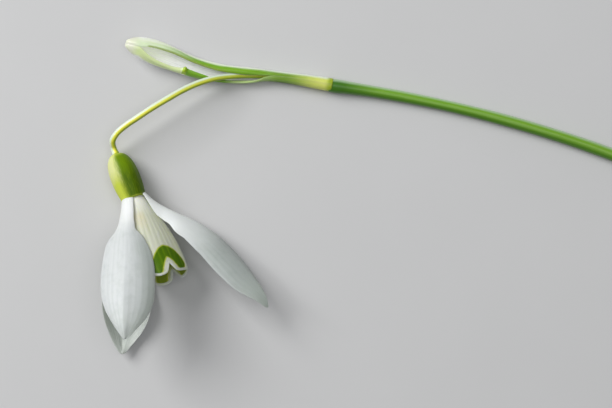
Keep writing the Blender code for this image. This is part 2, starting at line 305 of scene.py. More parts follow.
class Wire:
    """An output of a shader node. Arithmetic on it adds Math nodes."""

    def __init__(self, board: "Board", socket: bpy.types.NodeSocket) -> None:
        """Keeps the socket."""
        self.board = board
        self.socket = socket

    def maths(self, operation: str, *values: Union["Wire", float]) -> "Wire":
        """Adds a Math node."""
        sockets = dict(enumerate(values))
        return self.board.node("ShaderNodeMath", {"operation": operation}, sockets)

    def __add__(self, other: Union["Wire", float]) -> "Wire":
        """Sum of this and another."""
        return self.maths("ADD", self, other)

    __radd__ = __add__

    def __mul__(self, other: Union["Wire", float]) -> "Wire":
        """Product of this and another."""
        return self.maths("MULTIPLY", self, other)

    __rmul__ = __mul__

    def __sub__(self, other: Union["Wire", float]) -> "Wire":
        """This less another."""
        return self.maths("SUBTRACT", self, other)

    def __rsub__(self, other: float) -> "Wire":
        """A number less this."""
        return self.maths("SUBTRACT", other, self)

    def __truediv__(self, other: Union["Wire", float]) -> "Wire":
        """This over another."""
        return self.maths("DIVIDE", self, other)

    def __pow__(self, power: float) -> "Wire":
        """This to a power."""
        return self.maths("POWER", self, power)

    def sine(self) -> "Wire":
        """The sine of this, in radians."""
        return self.maths("SINE", self)

    def shaken(self, noise: "Wire", amount: float) -> "Wire":
        """This, moved up and down by a noise of 0 to 1."""
        return self + (noise - 0.5) * amount

    def step(self, start: float, end: float) -> "Wire":
        """A smooth step from 0 at `start` to 1 at `end`, either way round.

        Args:
            start: where the step leaves 0.
            end: where it reaches 1.

        Returns:
            The step.
        """
        settings = {"interpolation_type": "SMOOTHSTEP", "clamp": True}
        low, high = min(start, end), max(start, end)
        sockets = {"Value": self, "From Min": low, "From Max": high}
        rise = self.board.node("ShaderNodeMapRange", settings, sockets)
        return rise if start < end else 1 - rise


class Board:
    """A material's nodes, wired by one method."""

    def __init__(self, name: str) -> None:
        """Makes the material with its one surface shader.

        Args:
            name: the material's name.
        """
        self.material = bpy.data.materials.new(name)
        self.material.use_nodes = True
        self.tree = self.material.node_tree
        self.shader = self.tree.nodes["Principled BSDF"]

    def plug(self, socket: bpy.types.NodeSocket, value: object) -> None:
        """Links a wire to an input, or sets the input's own value.

        Args:
            socket: the input.
            value: a wire, a number, or a colour or vector.
        """
        if isinstance(value, Wire):
            self.tree.links.new(value.socket, socket)
        elif isinstance(value, (tuple, list)):
            socket.default_value = (*value, 1.0)[: len(socket.default_value)]
        else:
            socket.default_value = value

    def node(
        self,
        kind: str,
        settings: Optional[dict] = None,
        sockets: Optional[dict] = None,
        output: Union[int, str] = 0,
    ) -> Wire:
        """Adds any node.

        Args:
            kind: the node's type name.
            settings: its properties.
            sockets: its inputs by name or index.
            output: which output to return.

        Returns:
            That output.
        """
        made = self.tree.nodes.new(kind)
        for key, value in (settings or {}).items():
            setattr(made, key, value)
        for key, value in (sockets or {}).items():
            self.plug(made.inputs[key], value)
        return Wire(self, made.outputs[output])

    def mark(self, name: str) -> Wire:
        """Reads one of the mesh's marks."""
        return self.node("ShaderNodeAttribute", {"attribute_name": name}, output="Fac")

    def place(self) -> Wire:
        """The point's place in the object's own frame."""
        return self.node("ShaderNodeTexCoord", output="Object")

    def layers(self, base: object, *coats: tuple[Union[Wire, float], object]) -> Wire:
        """Lays colours over a base, one after another.

        Args:
            base: the colour below, or a wire.
            coats: how much of each coat shows, from 0 to 1, and its colour.

        Returns:
            The colour on top.
        """
        for share, colour in coats:
            base = self.mix(share, base, colour)
        return base

    def vector(self, x: Union[Wire, float], y: Union[Wire, float], z: Union[Wire, float]) -> Wire:
        """Joins three numbers to a vector."""
        return self.node("ShaderNodeCombineXYZ", None, {0: x, 1: y, 2: z})

    def noise(self, where: Wire, scale: float, detail: float) -> Wire:
        """Smooth noise from 0 to 1."""
        sockets = {"Vector": where, "Scale": scale, "Detail": detail}
        return self.node("ShaderNodeTexNoise", None, sockets)

    def mix(self, share: Union[Wire, float], low: object, high: object) -> Wire:
        """Blends two colours."""
        sockets = {0: share, 6: low, 7: high}
        return self.node("ShaderNodeMix", {"data_type": "RGBA"}, sockets, 2)

    def bump(self, height: Wire, strength: float, distance: float) -> Wire:
        """A normal bent by a height."""
        sockets = {"Height": height, "Strength": strength, "Distance": distance}
        return self.node("ShaderNodeBump", None, sockets)

    def dress(self, **inputs: object) -> bpy.types.Material:
        """Sets the surface shader's inputs.

        Args:
            inputs: names of inputs with _ for spaces, each with a wire or a value.

        Returns:
            The finished material.
        """
        for name, value in inputs.items():
            self.plug(self.shader.inputs[name.replace("_", " ")], value)
        return self.material


# Finishes

# Sizes of noise, in bumps to a metre.
MOTTLE = 900.0
CELLS = 4200.0


@dataclass(frozen=True)
class StalkFinish:
    """A smooth green stalk, fine lines, painted highlight on one flank, painted shade on the other.

    Attributes:
        flank: the places on `turn` where the painted highlight begins and where it is full.
        under_side: the same for the painted shade on the other flank.
        foot_share: the share of the length over which the foot's colour fades.
    """

    name: str
    young: Colour
    grown: Colour
    line: Colour
    foot: Colour
    painted_highlight: Colour
    flank: tuple[float, float]
    under: Colour
    under_side: tuple[float, float]
    foot_share: float
    roughness: float = 0.36

    def material(self) -> bpy.types.Material:
        """Makes the material: colour along the stalk, lines, painted highlight and painted shade.

        Returns:
            The material.
        """
        board = Board(self.name)
        along, turn = board.mark("along"), board.mark("turn")
        drift = board.noise(board.place(), 160.0, 3.0)
        lines = board.noise(board.vector(along * 6.0, turn, turn * 0.5), 9.0, 3.0)
        flesh = board.layers(
            self.young,
            (along.shaken(drift, 0.35).step(0.0, 1.0), self.grown),
            (lines.step(0.45, 0.75) * 0.45, self.line),
            (along.step(self.foot_share, 0.0), self.foot),
            # Painted light: a highlight laid along one flank, painted shade along the other.
            (turn.shaken(lines, 0.5).step(*self.flank) * 0.85, self.painted_highlight),
            (turn.step(*self.under_side) * 0.8, self.under),
        )
        grain = board.noise(board.place(), 2600.0, 2.0)
        height = lines * 0.7 + grain * 0.3
        return board.dress(
            Base_Color=flesh,
            Roughness=self.roughness + (drift - 0.5) * 0.2,
            Specular_IOR_Level=0.35,
            Subsurface_Weight=0.12,
            Subsurface_Radius=(0.5, 1.0, 0.15),
            Subsurface_Scale=0.4 * MM,
            Coat_Weight=0.30,
            Coat_Roughness=0.30,
            Normal=board.bump(height, 0.35, 0.05 * MM),
        )


@dataclass(frozen=True)
class OvaryFinish:
    """Olive green with faint ribs, fresher towards the stalk, with painted highlight on one side.
    """

    name: str = "ovary_skin"
    flesh: Colour = (0.070, 0.135, 0.001)
    rib: Colour = (0.18, 0.26, 0.005)
    fresh: Colour = (0.20, 0.34, 0.003)
    crown_and_highlight: Colour = (0.62, 0.70, 0.08)
    painted_cream_highlight: Colour = (0.72, 0.72, 0.40)

    def material(self) -> bpy.types.Material:
        """Makes the material.

        Returns:
            The material.
        """
        board = Board(self.name)
        along, turn = board.mark("along"), board.mark("turn")
        drift = board.noise(board.place(), 420.0, 4.0)
        ribs = board.noise(board.vector(along * 1.2, turn * 1.3, turn * 0.4), 7.0, 2.5)
        # Painted highlight: `left` is the lit side, laid over with the crown's colour and a cream.
        left = turn.shaken(ribs, 0.9).step(0.0, -1.2)
        skin = board.layers(
            self.flesh,
            (ribs.step(0.42, 0.72) * 0.5, self.rib),
            (along.step(0.65, 0.25) * 0.5, self.fresh),
            (left * 0.8, self.crown_and_highlight),
            (left * along.shaken(drift, 0.3).step(0.75, 0.35) * 0.7, self.painted_cream_highlight),
            (along.shaken(drift, 0.2).step(0.12, 0.0) * 0.6, self.crown_and_highlight),
            (along.shaken(drift, 0.1).step(0.95, 1.0) * 0.4, self.crown_and_highlight),
        )
        fine = board.noise(board.place(), 3200.0, 2.0)
        return board.dress(
            Base_Color=skin,
            Roughness=0.42 + (drift - 0.5) * 0.16,
            Specular_IOR_Level=0.12,
            Subsurface_Weight=0.10,
            Subsurface_Radius=(0.8, 1.0, 0.05),
            Subsurface_Scale=0.5 * MM,
            Normal=board.bump(ribs * 0.6 + fine * 0.4, 0.35, 0.06 * MM),
        )


@dataclass(frozen=True)
class PetalFinish:
    """A waxy white petal with fine veins that run from claw to tip."""

    name: str
    flesh: Colour = (0.60, 0.625, 0.625)
    vein: Colour = (0.44, 0.48, 0.46)
    claw: Colour = (0.80, 0.82, 0.80)
    tip: Colour = (0.50, 0.54, 0.50)
    shade: Colour = (0.42, 0.47, 0.43)
    shade_side: tuple[float, float] = (1.5, 2.0)
    claw_share: tuple[float, float] = (0.30, 0.05)
    veins: float = 10.0

    def material(self) -> bpy.types.Material:
        """Makes the material.

        Returns:
            The material.
        """
        board = Board(self.name)
        along, across = board.mark("along"), board.mark("across")
        drift = board.noise(board.place(), 230.0, 3.0)
        lines = veins(board, along, across, drift, self.veins)
        mottle = board.noise(board.place(), MOTTLE, 3.0)
        # Painted shade towards one margin; the default shade_side lies past the margins.
        shaded = across.shaken(drift, 0.3).step(*self.shade_side) * along.step(0.2, 0.4)
        flesh = board.layers(
            self.flesh,
            (lines * 0.42, self.vein),
            (mottle.step(0.45, 0.75) * 0.35, self.vein),
            (shaded * 0.8, self.shade),
            (along.shaken(drift, 0.2).step(*self.claw_share), self.claw),
            (along.shaken(drift, 0.1).step(0.72, 1.0) * 0.6, self.tip),
        )
        height = lines * -0.40 + board.noise(board.place(), CELLS, 2.0) * 0.18 + drift * 0.5
        return board.dress(
            Base_Color=flesh,
            Roughness=0.46 + lines * 0.12,
            Specular_IOR_Level=0.42,
            Subsurface_Weight=0.50,
            Subsurface_Radius=(1.0, 1.0, 0.9),
            Subsurface_Scale=0.70 * MM,
            Sheen_Weight=0.05,
            Normal=board.bump(height, 0.40, 0.06 * MM),
        )


def veins(board: Board, along: Wire, across: Wire, drift: Wire, count: float) -> Wire:
    """Fine dark lines at even places across a petal, broken and of uneven strength.

    Args:
        board: the material's board.
        along: share from claw to tip.
        across: place between the margins, -1 to 1.
        drift: slow noise that makes the lines wander.
        count: lines from the middle to a margin.

    Returns:
        0 between the lines and up to 1 on them.
    """
    wander = across * count + (drift - 0.5) * 1.1
    ridge = (wander * math.pi).sine() * 0.5 + 0.5
    strength = board.noise(board.vector(along * 2.2, across * 6.0, 0.0), 1.7, 2.0)
    streak = board.noise(board.vector(along * 1.6, across * 34.0, 0.0), 1.0, 2.0)
    return (ridge**3.0 * 0.7 + streak.step(0.5, 0.8) * 0.6) * strength.step(0.25, 0.75)


@dataclass(frozen=True)
class InnerFinish:
    """Greenish white with a green mark round the notch, and stripes inside the cup."""

    name: str = "inner_petal"
    flesh: Colour = (0.66, 0.68, 0.55)
    vein: Colour = (0.46, 0.52, 0.32)
    base: Colour = (0.86, 0.87, 0.79)
    pale: Colour = (0.92, 0.95, 0.70)
    blush: Colour = (0.70, 0.58, 0.34)
    green: Colour = (0.078, 0.175, 0.001)
    fresh: Colour = (0.24, 0.38, 0.003)
    fringe: Colour = (0.44, 0.50, 0.05)
    margin: Colour = (0.70, 0.73, 0.65)
    veins: float = 8.0

    def material(self) -> bpy.types.Material:
        """Makes the material. The mark's depth is a mark of the mesh, in millimetres.

        Returns:
            The material.
        """
        board = Board(self.name)
        along, across, side = board.mark("along"), board.mark("across"), board.mark("side")
        depth, rim = board.mark("mark_depth"), board.mark("rim")
        drift = board.noise(board.place(), 260.0, 3.0)
        lines = veins(board, along, across, drift, self.veins)
        warm = across.step(0.05, 0.5) * along.step(0.15, 0.30) * along.step(0.55, 0.38)
        ragged = depth.shaken(board.noise(board.place(), MOTTLE, 3.0), 0.24)
        stripes = board.noise(board.vector(along * 2.0, across * 16.0, 0.0), 1.0, 1.0)
        stained = along.shaken(stripes, 0.3).step(0.35, 0.8) * stripes.step(0.35, 0.6)
        outside, inside = side.step(-0.2, 0.2), side.step(0.2, -0.2)
        core = ragged.step(1.05, 0.84)
        dark = board.layers(self.green, (lines * 0.6, self.fresh), (inside * 0.45, self.fringe))
        flesh = board.layers(
            self.flesh,
            (lines * 0.8, self.vein),
            (along.shaken(drift, 0.3).step(0.35, 0.0), self.base),
            # Painted light: `pale` lightens the outer face towards one margin, a flank that lies in
            # shade.
            (across.step(-0.30, -0.90) * outside * 0.8, self.pale),
            (warm * drift.step(0.3, 0.6) * 0.40, self.blush),
            (stained * inside * rim.step(0.25, 0.5) * 0.8, self.fringe),
            (ragged.step(1.26, 1.04), self.fringe),
            (core, dark),
            (rim.step(0.40, 0.26) * along.step(0.6, 0.75), self.margin),
        )
        height = lines * -0.6 + board.noise(board.place(), CELLS, 2.0) * 0.2 + drift * 0.4
        return board.dress(
            Base_Color=flesh,
            Roughness=0.46 - core * 0.08,
            Specular_IOR_Level=0.20,
            Subsurface_Weight=0.28,
            Subsurface_Radius=(0.9, 1.0, 0.3),
            Subsurface_Scale=0.30 * MM,
            Normal=board.bump(height, 0.42, 0.06 * MM),
        )


@dataclass(frozen=True)
class SpatheFinish:
    """A papery bract: green sheath and keels, pale membrane, white cap."""

    name: str = "spathe_tissue"
    sheath: Colour = (0.16, 0.31, 0.003)
    under: Colour = (0.085, 0.18, 0.002)
    flank: Colour = (0.80, 0.92, 0.72)
    foot: Colour = (0.68, 0.74, 0.16)
    collar: Colour = (0.34, 0.44, 0.02)
    keel: Colour = (0.20, 0.42, 0.012)
    knot: Colour = (0.36, 0.52, 0.02)
    upper: Colour = (0.84, 0.94, 0.72)
    band: Colour = (0.70, 0.82, 0.42)
    membrane: Colour = (0.93, 0.95, 0.93)
    streak: Colour = (0.66, 0.71, 0.60)
    see_through_shade: Colour = (0.20, 0.26, 0.16)
    rim: Colour = (0.24, 0.32, 0.03)
    cap: Colour = (0.72, 0.74, 0.58)
    glow: Colour = (0.75, 0.80, 0.55)
    glow_strength: float = 0.14

    def material(self) -> bpy.types.Material:
        """Makes the material.

        `around` is 0 at the back and 1 or -1 at the slit, and `rim` is the distance from
        the slit's margin in millimetres.

        Returns:
            The material.
        """
        board = Board(self.name)
        along, around, side = board.mark("along"), board.mark("around"), board.mark("side")
        rim = board.mark("rim")
        drift = board.noise(board.place(), 240.0, 3.0)
        streaks = board.noise(board.vector(along * 3.0, around * 26.0, 0.0), 1.0, 3.0)
        wide = board.noise(board.vector(along * 2.0, around * 7.0, 3.0), 1.0, 2.0)
        lines = streaks.step(0.45, 0.75)
        wander = along.shaken(drift, 0.03)
        above = around.step(-0.05, 0.05)
        # Painted shade: a dark patch on the membrane near the pedicel, for the shade seen through
        # it.
        see_through_patch = along.step(0.53, 0.56) * along.step(0.63, 0.60) * around.step(-0.40, -0.55)
        film = board.layers(
            self.membrane,
            (lines * 0.55, self.streak),
            (wide.step(0.55, 0.8) * 0.35, self.streak),
            (see_through_patch * 0.8, self.see_through_shade),
        )
        edge = rim.shaken(drift, 0.3).step(1.1, 0.55) * (wander.step(0.86, 0.62) * 0.8 + 0.2)
        upper = board.layers(self.upper, (lines * 0.4, self.band), (edge, self.keel))
        lower = board.layers(
            self.band,
            (lines * 0.5, self.cap),
            (wander.step(0.706, 0.690), self.keel),
            (wander.step(0.52, 0.46) * 0.6, self.band),
            (along.step(0.684, 0.690) * along.step(0.708, 0.703), self.knot),
        )
        # The upper wall is paler than the lower: partly the bracts' own colours, partly painted
        # highlight.
        walls = board.mix(above, lower, upper)
        outside = board.mix((rim / (above * 0.25 + 1.15)).step(1.5, 0.9), film, walls)
        inside = board.mix(rim.step(0.62, 0.30), film, walls)
        hood = board.mix(side.step(-0.3, 0.3), inside, outside)
        low = around.step(-0.80, -0.60) * around.step(-0.30, -0.50)
        sheath = board.layers(
            self.sheath,
            (lines * 0.2, self.flank),
            (low * 0.8, self.under),
            (wander.step(0.23, 0.03), self.foot),
            # Pale upper flank: partly the sheath's paler band, partly painted highlight along the
            # lit side.
            (around.shaken(streaks, 0.12).step(0.84, 0.62) * above, self.flank),
            (along.step(0.040, 0.010), self.collar),
        )
        inward = side.step(0.3, -0.3)
        opened = wander.step(0.22, 0.32) * inward + wander.step(0.24, 0.40) * (1 - inward)
        line = rim.step(0.30, 0.12) * above * along.step(0.44, 0.55) * along.step(0.905, 0.89)
        skin = board.layers(
            sheath, (opened, hood), (line * 0.8, self.rim), (wander.step(0.925, 0.97), self.cap)
        )
        fine = board.noise(board.place(), 3000.0, 2.0)
        # Painted light: the inside of the hood towards its tip glows a little, for light let
        # through.
        lit = side.step(0.2, -0.2) * along.step(0.70, 0.86)
        height = streaks * 0.7 + fine * 0.15 + drift * 0.3
        return board.dress(
            Base_Color=skin,
            Roughness=0.40 + (streaks - 0.5) * 0.2,
            Specular_IOR_Level=0.45,
            Subsurface_Weight=0.55,
            Subsurface_Radius=(0.9, 1.0, 0.8),
            Subsurface_Scale=0.5 * MM,
            Coat_Weight=0.08,
            Coat_Roughness=0.3,
            Emission_Color=board.mix(lit, BLACK, self.glow),
            Emission_Strength=self.glow_strength,
            Normal=board.bump(height, 0.45, 0.06 * MM),
        )


@dataclass(frozen=True)
class StamenFinish:
    """An orange-yellow anther on a pale filament."""

    name: str = "anther"
    filament: Colour = (0.74, 0.76, 0.52)
    anther: Colour = (0.78, 0.40, 0.05)
    pollen: Colour = (0.86, 0.60, 0.20)

    def material(self) -> bpy.types.Material:
        """Makes the material.

        Returns:
            The material.
        """
        board = Board(self.name)
        grain = board.noise(board.place(), 2400.0, 3.0)
        flesh = board.layers(
            self.filament,
            (board.mark("along").step(0.20, 0.25), self.anther),
            (grain.step(0.5, 0.8) * 0.3, self.pollen),
        )
        return board.dress(
            Base_Color=flesh,
            Roughness=0.55 + grain * 0.2,
            Normal=board.bump(grain, 0.4, 0.05 * MM),
        )


@dataclass(frozen=True)
class PlainFinish:
    """One colour with a fine grain, for the style and the surface below."""

    name: str
    colour: Colour
    roughness: float
    grain: float = 1500.0
    depth: float = 0.03 * MM

    def material(self) -> bpy.types.Material:
        """Makes the material.

        Returns:
            The material.
        """
        board = Board(self.name)
        grain = board.noise(board.place(), self.grain, 3.0)
        pale = tuple(min(1.0, 1.05 * value) for value in self.colour)
        return board.dress(
            Base_Color=board.mix(grain, self.colour, pale),
            Roughness=self.roughness + (grain - 0.5) * 0.1,
            Normal=board.bump(grain, 0.2, self.depth),
        )


# Pieces


@dataclass
class Piece:
    """A finished object on the flower.

    Attributes:
        name: the object's name.
        node: the node of the shared frame that it stands for.
        slot: the record's material slot; not used.
        skin: its surface, laid out from the stem's node.
        material: its finish.
    """

    name: str
    node: str
    slot: str
    skin: Skin
    material: bpy.types.Material

    def add(self) -> bpy.types.Object:
        """Moves the skin to the shared frame and adds it to the scene.

        Returns:
            The new object.
        """
        self.skin.rings = self.skin.rings + NODE_PLACE
        mesh = self.skin.mesh(self.name)
        made = bpy.data.objects.new(self.name, mesh)
        mesh.materials.append(self.material)
        bpy.context.scene.collection.objects.link(made)
        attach(made, "root")
        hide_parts(self.node)
        LOG.info("%s: %d faces for %s", self.name, len(mesh.polygons), self.node)
        return made


@dataclass(frozen=True)
class Scape:
    """The leafless stem, an arc that lies on the surface."""

    length: float = 96 * MM
    radius: Pairs = (
        (0.0, 0.93), (0.006, 0.98), (0.03, 0.92), (0.06, 0.85), (0.12, 0.81), (0.3, 0.85),
        (0.6, 0.93), (1.0, 1.05),
    )
    overlap: float = 0.55 * MM
    heading: float = math.radians(-7.1)
    turn: float = math.radians(-30.6)
    turn_span: float = 2.2
    count: int = 420
    around: int = 48

    def path(self) -> tuple[np.ndarray, np.ndarray, np.ndarray]:
        """The centre line: the heading turns evenly and the steps are summed.

        Returns:
            Shares of the length, the points, and the radius at each.
        """
        share = np.linspace(0, 1, self.count)
        heading = self.heading + self.turn * share
        middle = (heading[1:] + heading[:-1]) / 2
        step = self.length / (self.count - 1)
        x = np.concatenate([[0.0], np.cumsum(step * np.cos(middle))])
        y = np.concatenate([[0.0], np.cumsum(step * np.sin(middle))])
        radius = through(self.radius, share) * MM
        return share, np.column_stack([x - self.overlap, y, radius]), radius

    def skin(self) -> Skin:
        """A round stalk with two faint edges and fine ridges.

        Returns:
            The skin.
        """
        share, path, radius = self.path()
        t = ring_angles(self.around)
        fold = 0.012 * np.cos(2 * t) + 0.008 * np.sin(9 * t + 14 * share[:, None])
        swell = 0.012 * np.sin(41 * share[:, None] + 3 * np.cos(t))
        swell = swell * eased(share, 0.02, 0.1)[:, None]
        close = rounded_ends(share, 0.0012, 0.0008)
        rings = tube_rings(path, radius * (0.72 + 0.28 * close), 0.98 + fold + swell, self.around)
        return Skin(rings, {"along": share[:, None], "turn": self.turn_span * np.cos(t)})

    def piece(self) -> Piece:
        """Makes the stem in its finish.

        Returns:
            The piece.
        """
        finish = StalkFinish(
            "scape_skin", young=(0.15, 0.35, 0.012), grown=(0.165, 0.33, 0.020),
            line=(0.28, 0.46, 0.06), foot=(0.035, 0.15, 0.001), foot_share=0.09,
            # painted highlight along the stem's upper edge, painted shade over its lower half
            painted_highlight=(0.44, 0.60, 0.38), flank=(-0.9, -2.1),
            under=(0.045, 0.16, 0.002), under_side=(-0.1, 1.5),
        )
        return Piece("stem", "scape", "scape", self.skin(), finish.material())


@dataclass(frozen=True)
class Spathe:
    """The bract: a sheath round the pedicel's foot, then an open, hooded boat.

    Attributes:
        axis: the middle line, in millimetres from the node.
        half_height: half its height along the length, in millimetres.
        depth_share: its depth as a share of its height.
        upper_edge, lower_edge: angles of the slit's edges from the back, in degrees.
        opening, closing: shares of the length where the slit opens and closes.
        boat: where the hollow, ribbed part begins.
        knot, knot_edge: where the knot stands, and where the slit's edge rises for it.
        keel_reach: the keel's distance from the slit's edge, in millimetres.
    """

    axis: tuple[tuple[float, float, float], ...] = (
        (0.06, 0.00, 1.06), (-4.53, 0.76, 1.04), (-9.06, 1.33, 1.06), (-13.02, 1.48, 1.20),
        (-16.41, 1.79, 1.42), (-19.79, 2.60, 1.66), (-23.17, 3.88, 1.94), (-26.53, 5.12, 2.30),
        (-29.10, 5.88, 2.66),
    )
    half_height: Pairs = (
        (0.0, 0.95), (0.05, 0.94), (0.12, 0.88), (0.20, 0.80), (0.32, 0.84), (0.42, 1.14),
        (0.52, 1.27), (0.62, 1.39), (0.72, 1.58), (0.80, 1.72), (0.88, 1.68), (0.94, 1.40),
        (0.975, 0.98), (0.99, 0.70), (1.0, 0.42),
    )
    depth_share: Pairs = ((0.0, 1.0), (0.32, 1.0), (0.55, 0.86), (0.80, 0.80), (1.0, 0.95))
    upper_edge: Pairs = (
        (0.0, 182), (0.33, 182), (0.37, 180), (0.43, 178), (0.48, 174), (0.53, 171), (0.59, 164),
        (0.68, 157), (0.75, 153), (0.82, 156), (0.87, 162), (0.905, 170), (0.93, 181),
        (0.95, 183), (1.0, 183),
    )
    lower_edge: Pairs = (
        (0.0, 182), (0.29, 182), (0.325, 158), (0.355, 126), (0.40, 108), (0.48, 108),
        (0.55, 124), (0.59, 140), (0.64, 151), (0.70, 155), (0.74, 143), (0.795, 141),
        (0.84, 145), (0.88, 154), (0.91, 168), (0.93, 180), (0.95, 183), (1.0, 183),
    )
    wall: float = 0.20 * MM
    opening: tuple[float, float] = (0.27, 0.32)
    closing: tuple[float, float] = (0.925, 0.945)
    boat: tuple[float, float] = (0.30, 0.42)
    keel_reach: float = 0.34
    keel_growth: float = 1.9
    fine_crinkle: float = 0.030 * MM
    coarse_crinkle: float = 0.035 * MM
    knot: float = 0.696
    knot_edge: float = 0.697
    knot_rise: float = math.radians(11)
    count: int = 300
    around: int = 150

    def skin(self) -> Skin:
        """Each ring runs over the outside of a C of an ellipse and back inside it.

        The C's ends are the slit's two edges, which meet in the sheath and at the cap. The
        wall is thickest at the keels, thin in the membrane, and rounded at its edges, and a
        knot stands on the lower keel.

        Returns:
            The skin.
        """
        share = np.linspace(0, 1, self.count)
        path = even_path(np.array(self.axis) * MM, self.count)
        along = unit(np.gradient(path, axis=0))
        side = unit(np.cross(along, (0.0, 0.0, 1.0)))
        front = np.cross(side, along)
        high = through(self.half_height, share) * MM - self.wall / 2
        deep = high * through(self.depth_share, share)
        upper = np.radians(np.clip(through(self.upper_edge, share), 0, 180))[:, None]
        lower = np.radians(np.clip(through(self.lower_edge, share), 0, 180))[:, None]
        s = share[:, None]
        lower = lower + self.knot_rise * np.exp(-(((s - self.knot_edge) / 0.008) ** 2))
        t = ring_angles(self.around)
        turn = (1 - np.cos(t)) / 2
        angle = -lower * (1 - turn) + upper * turn
        open_share = eased(s, *self.boat)
        joined = 1 - eased(s, *self.opening) + eased(s, *self.closing)
        curve = np.abs(np.sin(t)) ** 0.45
        flush = np.where(np.sin(t) > -0.001, 1.0, -1.0)
        bulge = curve * np.sign(np.sin(t)) * (1 - joined) + flush * joined
        gap = np.where(angle > 0, upper - angle, lower + angle) * high[:, None] / MM
        keel = np.exp(-(((gap - self.keel_reach) / self.keel_reach) ** 2)) * open_share
        rib = 1 + self.keel_growth * keel * (1 - 0.5 * eased(s, 0.80, 0.92))
        knot = np.exp(-(((s - self.knot) / 0.009) ** 2) - ((gap - 0.30) / 0.55) ** 2)
        swell = MM * knot * (angle < 0) * np.where(bulge > 0, 0.38, 0.16) * bulge
        thick = self.wall / 2 * bulge * rib * (0.35 + 0.65 * rounded_ends(s, 0.004, 0.006))
        fine = self.fine_crinkle * np.sin(11 * angle + 9 * s) * np.cos(angle / 2) ** 2
        coarse = self.coarse_crinkle * np.sin(4 * angle + 23 * s)
        out = thick + swell + (fine + coarse) * open_share
        across = ((high[:, None] + out) * np.sin(angle))[..., None] * side[:, None]
        shallow = 1 - 0.45 * open_share * np.clip(np.cos(angle), 0, 1) ** 0.5
        depth = ((deep[:, None] + out) * np.cos(angle) * shallow)[..., None] * front[:, None]
        rings = path[:, None] + across - depth
        marks = {"along": s, "around": angle / np.pi, "side": np.sin(t), "rim": gap}
        return Skin(rings, marks, (Cap.ZIP, Cap.ZIP))

    def piece(self) -> Piece:
        """Makes the spathe in its finish."""
        return Piece("bract", "spathe", "spathe", self.skin(), SpatheFinish().material())


@dataclass(frozen=True)
class Ovary:
    """The seed capsule: a barrel a little aslant, whose lower rim carries the tepals."""

    length: float = 6.6 * MM
    brim: float = 0.30 * MM
    lean: float = 0.045
    profile: Pairs = (
        (0.0, 0.60), (0.03, 0.98), (0.08, 1.32), (0.16, 1.64), (0.28, 1.88), (0.45, 2.02),
        (0.62, 2.03), (0.78, 1.96), (0.90, 1.84), (1.0, 1.74),
    )
    foot_radius: float = 0.30 * MM
    rim_step: float = 0.05 * MM
    turn_span: float = 2.0
    count: int = 150
    around: int = 96

    def point(self, height: float) -> np.ndarray:
        """A point on the ovary's slanting axis."""
        return np.array([-self.lean * height, 0.0, -height])

    def skin(self, head: Placement) -> Skin:
        """Rings of radius r(z) with six faint ribs, sheared by the lean.

        Args:
            head: carries the head's frame to the stem's.

        Returns:
            The skin.
        """
        share = np.concatenate([[0.0], (1 - np.cos(np.linspace(0.05, np.pi, self.count))) / 2])
        t = ring_angles(self.around)
        radius = through(self.profile, share) * MM
        radius[0] = self.foot_radius
        radius = radius - self.rim_step * eased(share, 0.985, 1.0)
        body = np.sin(np.pi * share) ** 0.7
        ripple = 1 + body[:, None] * (0.012 * np.cos(6 * t + 0.4) + 0.006 * np.sin(13 * t))
        z = (self.length + self.brim) * share - self.length
        x = self.lean * z[:, None] + radius[:, None] * ripple * np.cos(t)
        y = radius[:, None] * ripple * np.sin(t)
        rings = head.carry(np.stack([x, y, z[:, None] * np.ones_like(x)], axis=-1))
        return Skin(rings, {"along": share[:, None], "turn": self.turn_span * np.cos(t)})

    def piece(self, head: Placement) -> Piece:
        """Makes the ovary in its finish."""
        return Piece("seed_capsule", "ovary", "ovary", self.skin(head), OvaryFinish().material())


